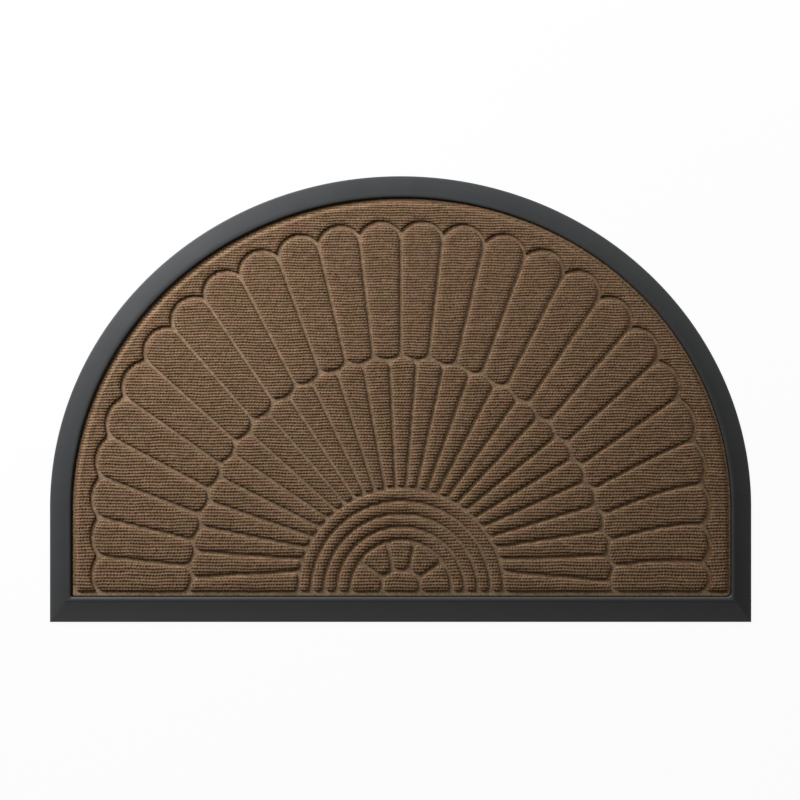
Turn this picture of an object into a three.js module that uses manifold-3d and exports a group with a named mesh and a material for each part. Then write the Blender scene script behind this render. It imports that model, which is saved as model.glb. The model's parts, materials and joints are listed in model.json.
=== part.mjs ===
// A half-round doormat: a moulded rubber tray with a sloped border, and an embossed
// carpet face lying in it. Millimetres, +Z up. X runs along the straight front edge and
// Y from that edge to the top of the arch. The origin is under the middle of the mat.

import * as THREE from 'three';
import { mergeVertices } from 'three/addons/utils/BufferGeometryUtils.js';
import Module from 'manifold-3d';

// Outline of the mat: a straight front, two straight sides and a half ellipse.
const WIDTH = 914;
const SIDE_LENGTH = 149.5;
const ARCH_RISE = 431.5;
const DEPTH = SIDE_LENGTH + ARCH_RISE;
const FRONT = -DEPTH / 2;
const SPRING_LINE = FRONT + SIDE_LENGTH;
const ARCH_STEPS = 72;

// Rubber tray.
const TRAY_FLOOR = 2;
const SIDE_BORDER = 27;
const FRONT_BORDER = 33;

// Cross section of the border, from the outer edge to the pocket wall. "side" and "front"
// are distances from the mat's edge, "height" is above the surface that the mat lies on.
// The front border has the longer bevel and the narrower crown.
const BORDER_SECTION = [
  { name: 'underside edge', side: 0, front: 0, height: 0 },
  { name: 'outer edge', side: 0, front: 0, height: 1.8 },
  { name: 'foot of the bevel', side: 3, front: 3, height: 2.4 },
  { name: 'head of the bevel', side: 20, front: 26, height: 6.4 },
  { name: 'crown', side: 24.3, front: 30, height: 7.2 },
  { name: 'inner edge of the crown', side: 25.8, front: 31.4, height: 6.9 },
  { name: 'pocket wall', side: SIDE_BORDER, front: FRONT_BORDER, height: 5.2 },
  { name: 'pocket floor', side: SIDE_BORDER, front: FRONT_BORDER, height: TRAY_FLOOR },
];

// Carpet face: a slab in the tray's pocket with raised pads between pressed grooves.
const PIECE_GAP = 0.3;
const POCKET_CLEARANCE = 1.2;
const CARPET_BOTTOM = TRAY_FLOOR + PIECE_GAP;
const GROOVE_LEVEL = 4.2;
const PAD_LEVEL = 6.2;
const PAD_ROOT = 3.4;
const GROOVE = 4.5;
const MARGIN = 4;

// The fan spreads from a hub just inside the front border. Angles count from the line
// that runs straight back from the hub.
const HUB = new THREE.Vector2(0, FRONT + 41);
const SECTORS_A_SIDE = 13;
const QUARTER = Math.PI / 2;
const SECTOR = QUARTER / SECTORS_A_SIDE;
const BASE_LINE = -GROOVE / 2;

// Long outer petals: their valleys and rounded tips follow two arches like the outline.
// On the fan's shoulders the tips reach a little further and lean towards its middle.
const PETAL_VALLEY = { halfWidth: 392, rise: 353.5 };
const PETAL_TIP = { halfWidth: 401, rise: 370 };
const LEFT_SHOULDER = { reach: 5, lean: 0.12 };
const RIGHT_SHOULDER = { reach: 7, lean: 0.11 };
const SHOULDER_END = THREE.MathUtils.degToRad(56);
const SCALLOP_STEPS = 6;

// The real fan is uneven: between the middle and UPRIGHT_RAYS its rays stand a little more
// upright than even sectors would, and at the lower right the petals' ends sit nearer the
// front edge. Rays count from the middle.
const LEFT_UPRIGHT = THREE.MathUtils.degToRad(0.65);
const RIGHT_UPRIGHT = THREE.MathUtils.degToRad(0.48);
const UPRIGHT_RAYS = 10.5;
const SLIP = 10.5;
const SLIP_START = 8;
const SLIP_END = 10;
const NECK = 0.9;

// The zigzag groove between the two rings of petals runs between two half ellipses. Its
// inner points stand a small share of a sector clockwise of the half ways.
const ZIGZAG_OUT = { across: 278.3, back: 306.8 };
const ZIGZAG_IN = { across: 271.1, back: 300.1 };
const ZIGZAG_TURN = 0.09;

// Short inner petals stop at the largest arch, where their grooves crowd to the middle.
const HUB_SECTOR = THREE.MathUtils.degToRad(6.35);
const HUB_UPRIGHT = THREE.MathUtils.degToRad(2.4);

// Four arched bands between five round grooves.
const FIRST_ARCH = 66;
const ARCH_PITCH = 16.9;
const ARCH_BANDS = 4;
const LARGEST_ARCH = FIRST_ARCH + ARCH_BANDS * ARCH_PITCH;
const BAND_STEPS = 24;

// Rosette inside the smallest arch: where each groove leaves the hub cell and where it
// meets the smallest arch, in degrees, and its distance from the hub at the cell.
const ROSETTE_GROOVES = [
  { hubAngle: 21, hubRadius: 28.6, archAngle: 16 },
  { hubAngle: 54, hubRadius: 29.3, archAngle: 54.5 },
  { hubAngle: 90, hubRadius: 25, archAngle: 90 },
];
const ROSETTE_STEPS = 5;

const FINISH = {
  rubber: { color: 0x393b3c, roughness: 0.55, metalness: 0 },
  carpet: { color: 0x6d563f, roughness: 0.95, metalness: 0 },
};

const wasm = await Module();
wasm.setup();

// ---------- plane geometry ----------

// Counter-clockwise arch outline, "side" inside the mat's sides and arch and "front"
// inside its front edge: two front corners, then the arch from right to left.
function archOutline(side, front) {
  const halfWidth = WIDTH / 2;
  const points = [
    new THREE.Vector2(-halfWidth + side, FRONT + front),
    new THREE.Vector2(halfWidth - side, FRONT + front),
  ];
  for (let step = 0; step <= ARCH_STEPS; step += 1) {
    const angle = (Math.PI * step) / ARCH_STEPS;
    const edge = new THREE.Vector2(halfWidth * Math.cos(angle), ARCH_RISE * Math.sin(angle));
    const outward = new THREE.Vector2(Math.cos(angle) / halfWidth, Math.sin(angle) / ARCH_RISE);
    edge.addScaledVector(outward.normalize(), -side);
    points.push(new THREE.Vector2(edge.x, edge.y + SPRING_LINE));
  }
  return points;
}

// A point of the fan. The outermost rays, at right angles, lie along the base line.
function fromHub(angle, radius) {
  const back = Math.abs(angle) > QUARTER - 1e-9 ? BASE_LINE : Math.cos(angle) * radius;
  return new THREE.Vector2(Math.sin(angle) * radius, back).add(HUB);
}

function ellipseRadius(angle, { across, back }) {
  return 1 / Math.hypot(Math.sin(angle) / across, Math.cos(angle) / back);
}

// How far a ray from the hub runs to an arch with straight sides below the spring line.
function archRadius(angle, { halfWidth, rise }) {
  const toSide = halfWidth / Math.max(Math.abs(Math.sin(angle)), 1e-9);
  if (HUB.y + toSide * Math.cos(angle) <= SPRING_LINE) return toSide;
  const drop = HUB.y - SPRING_LINE;
  const square = (Math.sin(angle) / halfWidth) ** 2 + (Math.cos(angle) / rise) ** 2;
  const linear = (drop * Math.cos(angle)) / rise ** 2;
  const constant = (drop / rise) ** 2 - 1;
  return (-linear + Math.sqrt(linear ** 2 - square * constant)) / square;
}

// Points of the round arc from "start" over "middle" to "end", the end left out.
function roundArc(start, middle, end, steps) {
  const a = middle.clone().sub(start);
  const b = end.clone().sub(start);
  const cross = 2 * a.cross(b);
  const centre = new THREE.Vector2(
    (b.y * a.lengthSq() - a.y * b.lengthSq()) / cross,
    (a.x * b.lengthSq() - b.x * a.lengthSq()) / cross,
  ).add(start);
  const from = start.clone().sub(centre).angle();
  let turn = end.clone().sub(centre).angle() - from;
  if (cross > 0 && turn < 0) turn += 2 * Math.PI;
  if (cross < 0 && turn > 0) turn -= 2 * Math.PI;
  return Array.from({ length: steps }, (_, step) => (
    start.clone().rotateAround(centre, (turn * step) / steps)
  ));
}

// Arc about the hub between two angles, with both of its ends.
function hubArc(fromAngle, toAngle, radius, steps) {
  return Array.from({ length: steps + 1 }, (_, step) => (
    fromHub(THREE.MathUtils.lerp(fromAngle, toAngle, step / steps), radius)
  ));
}

// The same loop, counter-clockwise, with every edge moved inwards by "distance".
function insetLoop(loop, distance) {
  const points = THREE.ShapeUtils.area(loop) > 0 ? loop : [...loop].reverse();
  const inward = points.map((point, index) => {
    const edge = points[(index + 1) % points.length].clone().sub(point).normalize();
    return new THREE.Vector2(-edge.y, edge.x);
  });
  return points.map((point, index) => {
    const before = inward[(index + points.length - 1) % points.length];
    const sum = before.clone().add(inward[index]);
    return point.clone().addScaledVector(sum, (2 * distance) / sum.lengthSq());
  });
}

// ---------- the fan's cells, each bounded by the middle of its grooves ----------

// The angle of a ray in the outer ring.
function rayAngle(index) {
  const most = index < 0 ? LEFT_UPRIGHT : RIGHT_UPRIGHT;
  return index * SECTOR - most * Math.sin((Math.PI * index) / UPRIGHT_RAYS);
}

function zigzagOut(index) {
  const angle = rayAngle(index);
  return fromHub(angle, ellipseRadius(angle, ZIGZAG_OUT));
}

function zigzagIn(index) {
  const angle = rayAngle(index + ZIGZAG_TURN);
  return fromHub(angle, ellipseRadius(angle, ZIGZAG_IN));
}

function archPoint(index) {
  const lean = HUB_UPRIGHT * Math.sin((Math.PI * index) / SECTORS_A_SIDE);
  return fromHub(index * HUB_SECTOR - lean, LARGEST_ARCH);
}

// The same point, let down towards the base line by the slip of its ray.
function slipped(index, point) {
  const drop = SLIP * THREE.MathUtils.smoothstep(index, SLIP_START, SLIP_END);
  return new THREE.Vector2(point.x, Math.max(point.y - drop, HUB.y + BASE_LINE));
}

function valley(index) {
  const angle = rayAngle(index);
  return slipped(index, fromHub(angle, archRadius(angle, PETAL_VALLEY)));
}

function neck(index) {
  const angle = rayAngle(index);
  return fromHub(angle, NECK * archRadius(angle, PETAL_VALLEY));
}

function scallopTip(index) {
  const { reach, lean } = index < 0 ? LEFT_SHOULDER : RIGHT_SHOULDER;
  const turn = Math.abs(index) * SECTOR;
  const shoulder = Math.sin((Math.PI * Math.min(turn, SHOULDER_END)) / SHOULDER_END);
  const angle = rayAngle(index - Math.sign(index) * lean * Math.sin(2 * turn));
  return slipped(index, fromHub(angle, archRadius(angle, PETAL_TIP) + reach * shoulder));
}

function scallop(index) {
  return roundArc(valley(index), scallopTip(index + 0.5), valley(index + 1), SCALLOP_STEPS);
}

function outerPetals() {
  return Array.from({ length: 2 * SECTORS_A_SIDE }, (_, count) => {
    const index = count - SECTORS_A_SIDE;
    return [
      zigzagOut(index), neck(index), ...scallop(index), valley(index + 1), neck(index + 1),
      zigzagOut(index + 1), zigzagIn(index + 0.5),
    ];
  });
}

function innerPetals() {
  const whole = Array.from({ length: 2 * SECTORS_A_SIDE - 1 }, (_, count) => {
    const index = count - SECTORS_A_SIDE + 1;
    return [
      zigzagIn(index - 0.5), zigzagOut(index), zigzagIn(index + 0.5),
      archPoint(index + 0.5), archPoint(index), archPoint(index - 0.5),
    ];
  });
  const halves = [-1, 1].map((side) => {
    const first = side * (SECTORS_A_SIDE - 0.5);
    const foot = fromHub(side * QUARTER, LARGEST_ARCH);
    return [zigzagIn(first), zigzagOut(side * SECTORS_A_SIDE), foot, archPoint(first)];
  });
  return [...whole, ...halves];
}

function archBands() {
  return Array.from({ length: ARCH_BANDS }, (_, band) => {
    const innerRadius = FIRST_ARCH + band * ARCH_PITCH;
    return [
      ...hubArc(QUARTER, -QUARTER, innerRadius, BAND_STEPS),
      ...hubArc(-QUARTER, QUARTER, innerRadius + ARCH_PITCH, BAND_STEPS),
    ];
  });
}

function rosetteCells() {
  const toRadians = THREE.MathUtils.degToRad;
  const atCell = (side, { hubAngle, hubRadius }) => fromHub(side * toRadians(hubAngle), hubRadius);
  const [first, second, last] = ROSETTE_GROOVES;
  const between = (fromAngle, toAngle) => (
    hubArc(toRadians(fromAngle), toRadians(toAngle), FIRST_ARCH, ROSETTE_STEPS)
  );
  const middle = [
    atCell(-1, first), ...between(-first.archAngle, first.archAngle), atCell(1, first),
  ];
  const sides = [-1, 1].flatMap((side) => {
    const upper = between(side * first.archAngle, side * second.archAngle);
    const lower = between(side * second.archAngle, side * last.archAngle);
    return [
      [atCell(side, first), ...upper, atCell(side, second)],
      [atCell(side, second), ...lower, atCell(side, last)],
    ];
  });
  const hubCell = [
    atCell(-1, last), atCell(-1, second), atCell(-1, first),
    atCell(1, first), atCell(1, second), atCell(1, last),
  ];
  return [middle, ...sides, hubCell];
}

// The field between the pressed margin and the petals' rounded ends.
function outerField() {
  const edge = SIDE_BORDER + POCKET_CLEARANCE + MARGIN - GROOVE / 2;
  const arch = archOutline(edge, HUB.y + BASE_LINE - FRONT);
  const scallops = Array.from({ length: 2 * SECTORS_A_SIDE }, (_, count) => (
    scallop(count - SECTORS_A_SIDE)
  )).flat();
  return [...arch.slice(1), arch[0], ...scallops, valley(SECTORS_A_SIDE)];
}

// ---------- solids ----------

// Closed solid through loops with equal point counts, from its underside, by way of its
// outer face and its rim, to the flat floor that the last loop bounds.
function loftGeometry(loops) {
  const count = loops[0].points.length;
  const positions = loops.flatMap(({ points, height }) => (
    points.flatMap(({ x, y }) => [x, y, height])
  ));
  const faces = [];
  for (let level = 0; level + 1 < loops.length; level += 1) {
    for (let index = 0; index < count; index += 1) {
      const next = (index + 1) % count;
      const a = level * count + index;
      const b = level * count + next;
      faces.push(a, b, b + count, a, b + count, a + count);
    }
  }
  const top = (loops.length - 1) * count;
  THREE.ShapeUtils.triangulateShape(loops[0].points, []).forEach(([a, b, c]) => {
    faces.push(a, c, b);
  });
  THREE.ShapeUtils.triangulateShape(loops.at(-1).points, []).forEach(([a, b, c]) => {
    faces.push(top + a, top + b, top + c);
  });
  const geometry = new THREE.BufferGeometry();
  geometry.setAttribute('position', new THREE.Float32BufferAttribute(positions, 3));
  geometry.setIndex(faces);
  return geometry;
}

function prismGeometry(loop, bottom, top) {
  const geometry = new THREE.ExtrudeGeometry(new THREE.Shape(loop), {
    depth: top - bottom,
    bevelEnabled: false,
  });
  return geometry.translate(0, 0, bottom);
}

function toManifold(geometry) {
  const bare = geometry.clone();
  bare.deleteAttribute('normal');
  bare.deleteAttribute('uv');
  const merged = mergeVertices(bare, 1e-4);
  return new wasm.Manifold(new wasm.Mesh({
    numProp: 3,
    vertProperties: new Float32Array(merged.attributes.position.array),
    triVerts: new Uint32Array(merged.index.array),
  }));
}

function toGeometry(manifold) {
  const { vertProperties, triVerts } = manifold.getMesh();
  const geometry = new THREE.BufferGeometry();
  geometry.setAttribute('position', new THREE.BufferAttribute(vertProperties, 3));
  geometry.setIndex(new THREE.BufferAttribute(triVerts, 1));
  geometry.computeVertexNormals();
  return geometry;
}

function rubberTray() {
  return loftGeometry(BORDER_SECTION.map(({ side, front, height }) => ({
    points: archOutline(side, front),
    height,
  })));
}

function carpetFace() {
  const slabLoop = archOutline(SIDE_BORDER + POCKET_CLEARANCE, FRONT_BORDER + POCKET_CLEARANCE);
  const cells = [
    outerField(), ...outerPetals(), ...innerPetals(), ...archBands(), ...rosetteCells(),
  ];
  let face = toManifold(prismGeometry(slabLoop, CARPET_BOTTOM, GROOVE_LEVEL));
  for (const cell of cells) {
    const pad = insetLoop(cell, GROOVE / 2);
    face = face.add(toManifold(prismGeometry(pad, PAD_ROOT, PAD_LEVEL)));
  }
  return toGeometry(face);
}

function addPiece(group, name, geometry, finish) {
  const mesh = new THREE.Mesh(geometry, new THREE.MeshStandardMaterial(finish));
  mesh.name = name;
  group.add(mesh);
}

const doormat = new THREE.Group();
addPiece(doormat, 'rubber_tray', rubberTray(), FINISH.rubber);
addPiece(doormat, 'carpet_face', carpetFace(), FINISH.carpet);

export default doormat;
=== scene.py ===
"""A half-round doormat: a moulded rubber tray with a sloped border, and a carpet face of
ribbed pile with a fan pressed into it, lying in the tray. Lengths are in metres."""

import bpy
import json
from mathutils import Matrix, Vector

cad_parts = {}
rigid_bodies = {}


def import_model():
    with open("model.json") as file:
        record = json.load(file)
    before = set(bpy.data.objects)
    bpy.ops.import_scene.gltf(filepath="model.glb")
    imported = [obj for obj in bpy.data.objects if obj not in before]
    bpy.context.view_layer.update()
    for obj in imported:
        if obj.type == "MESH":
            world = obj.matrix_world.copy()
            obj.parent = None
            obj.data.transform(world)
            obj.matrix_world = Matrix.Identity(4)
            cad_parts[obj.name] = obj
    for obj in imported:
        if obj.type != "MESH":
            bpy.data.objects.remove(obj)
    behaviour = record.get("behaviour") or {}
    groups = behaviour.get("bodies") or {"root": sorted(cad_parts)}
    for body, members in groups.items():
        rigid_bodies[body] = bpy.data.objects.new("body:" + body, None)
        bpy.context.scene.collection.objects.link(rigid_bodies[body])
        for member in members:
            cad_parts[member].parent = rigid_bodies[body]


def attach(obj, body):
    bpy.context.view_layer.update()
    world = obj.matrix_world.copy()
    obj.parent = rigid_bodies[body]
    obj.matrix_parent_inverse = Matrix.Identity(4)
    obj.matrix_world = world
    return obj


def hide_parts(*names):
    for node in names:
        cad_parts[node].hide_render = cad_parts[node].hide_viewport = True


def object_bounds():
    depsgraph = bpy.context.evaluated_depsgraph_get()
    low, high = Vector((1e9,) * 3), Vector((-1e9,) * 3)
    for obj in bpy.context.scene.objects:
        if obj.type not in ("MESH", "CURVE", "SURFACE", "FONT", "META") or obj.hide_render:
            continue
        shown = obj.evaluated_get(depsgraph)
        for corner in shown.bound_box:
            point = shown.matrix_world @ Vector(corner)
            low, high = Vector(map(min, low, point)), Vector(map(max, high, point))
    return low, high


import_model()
CAD_BOX = [list(corner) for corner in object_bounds()]

import json
import math

import bpy
import numpy as np
from bpy.props import FloatProperty, FloatVectorProperty, IntProperty, PointerProperty

bl_info = {
    "name": "Half-round doormat",
    "version": (1, 0, 0),
    "blender": (4, 5, 0),
    "location": "3D View > Sidebar > Doormat",
    "description": "Builds a rubber tray mat with an embossed carpet face",
    "category": "Add Mesh",
}

MM = 0.001
QUARTER = math.pi / 2
TINY = 1e-9
SAME_POINT = 1e-7

# Steps along the mat's outline, and in each curve that eases a corner.
FRONT_STEPS = 120
SIDE_STEPS = 24
ARCH_STEPS = 420
EASE_STEPS = 7
SECTION_STEPS = 4
# A corner turns by more than this. Its curve takes up at most these shares of an edge.
CORNER_TURN = math.radians(15)
CORNER_ROOM = 0.48
SECTION_ROOM = 0.45

# Cross section of the rubber border, from the outer edge to the pocket's floor: distances
# from the mat's edge at its sides and front, as shares of the border's width there, and
# heights as shares of the crown's.
BORDER_SECTION = (
    # side, front, height
    (0.000, 0.000, 0.000),
    (0.000, 0.000, 0.250),
    (0.110, 0.090, 0.330),
    (0.740, 0.790, 0.890),
    (0.840, 0.860, 0.980),
    (0.900, 0.910, 1.000),
    (0.958, 0.950, 0.970),
    (0.983, 0.980, 0.870),
    (1.000, 1.000, 0.720),
    (1.000, 1.000, 0.278),
)
# How far each edge of the section is rounded.
BORDER_EASE = 0.45 * MM
# Where the border goes over from the mat's outline to the pocket's: shares of its width.
CROWN_RAMP = (0.75, 0.97)
# The border is painted paler on its outer rim and on its crown, and more at the front: painted
# highlights and wear.
BORDER_HIGHLIGHTS_AND_WEAR = (
    # share of the width, painted highlight and wear
    (0.00, 0.8),
    (0.10, 0.5),
    (0.20, 0.05),
    (0.62, 0.0),
    (0.74, 0.2),
    (0.90, 0.25),
    (1.00, 0.15),
)
FRONT_HIGHLIGHT = 0.45

# The carpet's cut edge, from its underside over its rounded rim to its face.
EDGE_ROLL = (
    # inset, height at the sides and arch, height at the front
    (0.0 * MM, 2.3 * MM, 2.3 * MM),
    (0.0 * MM, 2.6 * MM, 2.8 * MM),
    (0.3 * MM, 3.8 * MM, 3.9 * MM),
    (0.8 * MM, 4.3 * MM, 4.4 * MM),
    (2.3 * MM, 4.3 * MM, 4.4 * MM),
    (4.4 * MM, 4.2 * MM, 4.1 * MM),
    (8.0 * MM, 4.2 * MM, 4.2 * MM),
)
# Where the front's heights give way to the sides': distances from the front edge.
FRONT_ROLL_END = (1.5 * MM, 12 * MM)
GROOVE_LEVEL = 4.2 * MM

# The pocket's front corners are rounded, with these shares of the reach at the left (-1) and
# at the right (1). The pocket lies a little to the right, and its arch to the front.
POCKET_CORNER = 9 * MM
CORNER_SHARES = {-1: 0.35, 1: 0.8}
POCKET_DROP = 1.0 * MM
POCKET_SHIFT = 0.8 * MM - 1j * POCKET_DROP
# The carpet is smaller than the pocket by the clearance and the shift on each side, and lies
# shifted to the right, so its gap is wider at the left.
POCKET_CLEARANCE = 0.4 * MM
CARPET_SHIFT = 0.8 * MM

# The pile starts at this distance from the carpet's edge. Its outer strip lies low, lower at
# the left (places along X, heights), and rises between these distances from the edge.
MARGIN = 1.2 * MM
RIM_HEIGHTS = ((0, 300 * MM), (3.4 * MM, 4.6 * MM))
RIM_RISE = (2.6 * MM, 9.4 * MM)
# No pile starts lower than this, and the carpet's rim sags no lower.
LOWEST_FOOT = 2.6 * MM
# The field stands a little above the other pads and keeps clear of the petals' outline. Its loops
# are painted darker near its edge, a painted shade along its grooves: how far in, and by which
# share.
FIELD_LIFT = 0.3 * MM
FIELD_GROOVE = 2.6 * MM
FIELD_SHADE = 3.2 * MM
FIELD_PAINTED_SHADE = 0.9

# The fan. Angles and the numbers of its rays count from the line that runs straight back from
# its hub, and are negative at the left.
HUB_FROM_FRONT = 41 * MM
# The arches through the petals' valleys and tips, with straight sides like the mat's.
PETAL_VALLEY = {"half_width": 392 * MM, "rise": 353.5 * MM}
PETAL_TIP = {"half_width": 401 * MM, "rise": 370 * MM}
# The tips between the middle and the ends reach further out and lean over.
LEFT_SHOULDER = {"reach": 5 * MM, "lean": 0.12}
RIGHT_SHOULDER = {"reach": 7 * MM, "lean": 0.11}
SHOULDER_END = math.radians(56)
SCALLOP_STEPS = 24
# How much more upright the rays stand, most half way to the last of these.
LEFT_UPRIGHT = math.radians(0.65)
RIGHT_UPRIGHT = math.radians(0.48)
UPRIGHT_RAYS = 10.5
# The last petals' ends at the right sit nearer the front edge: how far, and the rays from
# which to which this comes about.
SLIP = 10.5 * MM
SLIP_RAYS = (8, 10)
# The outer end of a ray bends to its valley: shares of its length.
NECK = (0.78, 0.93)
NECK_STEPS = 6
# The zigzag between the long and the short petals runs between two half ellipses.
ZIGZAG_OUT = {"across": 278.3 * MM, "back": 306.8 * MM}
ZIGZAG_IN = {"across": 271.1 * MM, "back": 300.1 * MM}
# Its inner points and the tips stand clockwise of the half ways: shares of a sector.
ZIGZAG_TURN = 0.09
TIP_TURN = 0.03
# The rays' feet on the largest arch around the hub.
HUB_SECTOR = math.radians(6.35)
HUB_UPRIGHT = math.radians(2.4)
FIRST_ARCH = 66 * MM
ARCH_BANDS = 4
BAND_STEPS = 90
ROSETTE_STEPS = 20
ROSETTE_GROOVES = (
    # angle at the hub cell, distance from the hub there, angle at the smallest arch
    (21, 28.6 * MM, 16),
    (54, 29.3 * MM, 54.5),
    (90, 25 * MM, 90),
)

# The pile: samples in a rib and in a loop, where the first rib lies, and the ribs before it.
ROW_SAMPLES = 4
LOOP_SAMPLES = 4
FIRST_ROW = 42.3 * MM
ROWS_BEFORE = 2
# A pad's foot lies outside its edge and under the groove by these distances.
FOOT = 0.7 * MM
FOOT_DEPTH = 0.5 * MM
# A pad rises steeply at its edge and goes on rising softly: distance inside, share of height.
SHOULDER = (0.7 * MM, 0.7)
SOFT_SHOULDER = (6.0 * MM, 0.3)
# Where in the foot the ribs get their full height, and how tall, from 0 to 1, a loop is that
# reaches the pad's own level.
RIB_START = 0.3
MEAN_NAP = 0.55
PILE_SEED = 11
# How far loops bend their rows, how the next row's bends are turned, and by which share of a
# loop it is out of step at most.
LOOP_TWIST = 0.3 * MM
LOOP_SLANT = 2.1
ROW_DRIFT = 0.4
# Loops are longer here and shorter there.
LOOP_WOBBLES = (
    # share of a loop, length, phases
    (0.16, 8.3 * MM, 1),
    (0.30, 31 * MM, 2),
)
# Loops are taller and lower by chance, loop by loop and crossing by crossing.
LOOP_TABLE = 211
LOOP_UNEVEN = 0.055
CROSSING_UNEVEN = 0.03
# Loops stand apart more towards the front: places along Y, shares of height. Their sides
# show between the ribs, more where they stand apart.
BEADS = ((-220 * MM, -60 * MM), (0.30, 0.16))
SIDE_SHOW = 0.16
BEAD_SHOW = 0.6
# Slow waves of the rows.
ROW_WAVES = (
    # length along the rows, length across them, turn, share
    (0.118, 0.41, 0.0, 0.45),
    (0.071, -0.23, 1.9, 0.35),
    (0.043, 0.17, 4.1, 0.30),
    (0.027, -0.11, 2.7, 0.15),
)

# Painted shade: the pile's hollows, found by ambient occlusion, are painted darker and redder:
# their size, how open they are from full tint to none.
HOLLOW = 4 * MM
HOLLOW_SHARES = (0.35, 0.95)
HOLLOW_SAMPLES = 6
HOLLOW_SHADE_TINT = (0.90, 0.68, 0.42, 1)
WHITE = (1, 1, 1, 1)
# Heathered yarn: patches a metre and their tints, uneven rows, and shades of rows and fibres.
PATCH_STRETCH = (26, 60, 1)
PATCH_TINTS = ((0.975, 1.01, 0.93, 1), (1.04, 0.985, 0.99, 1))
ROW_STRETCH = (26, 210, 1)
ROW_SHADES = (0.84, 1.14)
FIBRE_SHADES = (0.78, 1.22)
# How dark and light the loops get, with painted shade in their valleys, the pressed carpet and the
# rubber, with its paler painted highlights and wear.
NAP_RANGE = (0.05, 0.95)
PRESSED_SHADES = (0.8, 1.12)
RUBBER_SHADES = (0.92, 1.1)
HIGHLIGHT_AND_WEAR_SHADE = 2.6
RUBBER_ROUGHNESS = (0.40, 0.48)
# The grain of each finish: spots a metre, detail, strength and depth of the bumps.
PILE_GRAIN = (900, 3, 0.5, 0.4 * MM)
PRESSED_GRAIN = (520, 4, 0.6, 0.5 * MM)
RUBBER_GRAIN = (1400, 2, 0.25, 0.1 * MM)

# The studio: a large lamp at the upper left, a weaker one at the upper right, a floor just
# under the mat and a camera above it.
LAMP_SIZE = 0.8
LAMP_PLACE = (-1.15, 1.10, 0.62)
SECOND_PLACE = (1.0, 1.3, 0.4)
FLOOR_SIZE = 60.0
FLOOR_LEVEL = -0.2 * MM
# How much of the floor is seen as plain white.
FLOOR_GLOW = 0.95
CAMERA_HEIGHT = 3.0
CAMERA_OVER = (-0.8 * MM, -1.2 * MM)
VIEW_WIDTH = 1.0432
# The tint of the sky's light, and how far up the ceiling starts and is full: 1 is overhead.
SKY_TINT = (1, 0.88, 0.72, 1)
CEILING = (0.84, 0.96)


# ---------- settings ----------


class DoormatOutline(bpy.types.PropertyGroup):
    """The mat's outline and its border."""

    width: FloatProperty(
        name="Width", description="Length of the straight front edge",
        default=CAD_BOX[1][0] - CAD_BOX[0][0], min=0.3, unit="LENGTH",
    )
    depth: FloatProperty(
        name="Depth", description="From the front edge to the top of the arch",
        default=CAD_BOX[1][1] - CAD_BOX[0][1], min=0.2, unit="LENGTH",
    )
    side_length: FloatProperty(
        name="Straight sides", description="Length of the sides below the arch",
        default=149.5 * MM, min=0.01, unit="LENGTH",
    )
    crown: FloatProperty(
        name="Crown height", description="Height of the border's crown",
        default=CAD_BOX[1][2], min=0.003, unit="LENGTH",
    )
    side_border: FloatProperty(
        name="Side border", description="Width of the border at the sides and arch",
        default=27.0 * MM, min=0.005, unit="LENGTH",
    )
    front_border: FloatProperty(
        name="Front border", description="Width of the border along the front",
        default=33.0 * MM, min=0.005, unit="LENGTH",
    )


class DoormatFan(bpy.types.PropertyGroup):
    """The fan that is pressed into the carpet face."""

    sectors: IntProperty(
        name="Petals a side", description="Long petals on each side of the middle",
        default=13, min=4, max=24,
    )
    groove: FloatProperty(
        name="Groove width", description="Width of the pressed grooves",
        default=4.5 * MM, min=0.002, unit="LENGTH",
    )
    lift: FloatProperty(
        name="Pad height", description="Height of the raised pads above the grooves",
        default=2.6 * MM, min=0.0005, unit="LENGTH",
    )
    corner: FloatProperty(
        name="Corner ease", description="How far the corners of the pads are rounded",
        default=8 * MM, min=0.0, unit="LENGTH",
    )
    arch_pitch: FloatProperty(
        name="Arch pitch", description="Distance from arch to arch around the hub",
        default=16.9 * MM, min=0.006, unit="LENGTH",
    )


class DoormatPile(bpy.types.PropertyGroup):
    """The ribbed pile of the carpet face."""

    front_pitch: FloatProperty(
        name="Front pitch", description="Distance from rib to rib at the front",
        default=4.15 * MM, min=0.002, unit="LENGTH",
    )
    back_pitch: FloatProperty(
        name="Back pitch", description="Distance from rib to rib at the top of the arch",
        default=3.35 * MM, min=0.002, unit="LENGTH",
    )
    loop: FloatProperty(
        name="Loop length", description="Length of one loop along a rib",
        default=4.0 * MM, min=0.002, unit="LENGTH",
    )
    rib: FloatProperty(
        name="Rib height", description="From the bottom of a valley to the top of a rib",
        default=1.1 * MM, min=0.0, unit="LENGTH",
    )
    wave: FloatProperty(
        name="Row wave", description="How far the rows stray from straight lines",
        default=0.7 * MM, min=0.0, unit="LENGTH",
    )


class DoormatFinish(bpy.types.PropertyGroup):
    """Colours of the rubber, the pile and the floor."""

    rubber: FloatVectorProperty(
        name="Rubber", description="Colour of the moulded rubber",
        default=(0.030, 0.0315, 0.033), size=3, subtype="COLOR", min=0, max=1,
    )
    crest: FloatVectorProperty(
        name="Loop tops", description="Colour of the tops of the loops",
        default=(0.276, 0.191, 0.131), size=3, subtype="COLOR", min=0, max=1,
    )
    # The valleys' dark colour is painted shade between the ribs.
    valley: FloatVectorProperty(
        name="Valleys", description="Colour between the ribs",
        default=(0.068, 0.029, 0.008), size=3, subtype="COLOR", min=0, max=1,
    )
    groove: FloatVectorProperty(
        name="Pressed carpet", description="Colour of the grooves and the margin",
        default=(0.247, 0.178, 0.123), size=3, subtype="COLOR", min=0, max=1,
    )
    floor: FloatVectorProperty(
        name="Floor", description="Colour of the studio floor",
        default=(0.9, 0.9, 0.9), size=3, subtype="COLOR", min=0, max=1,
    )


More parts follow.
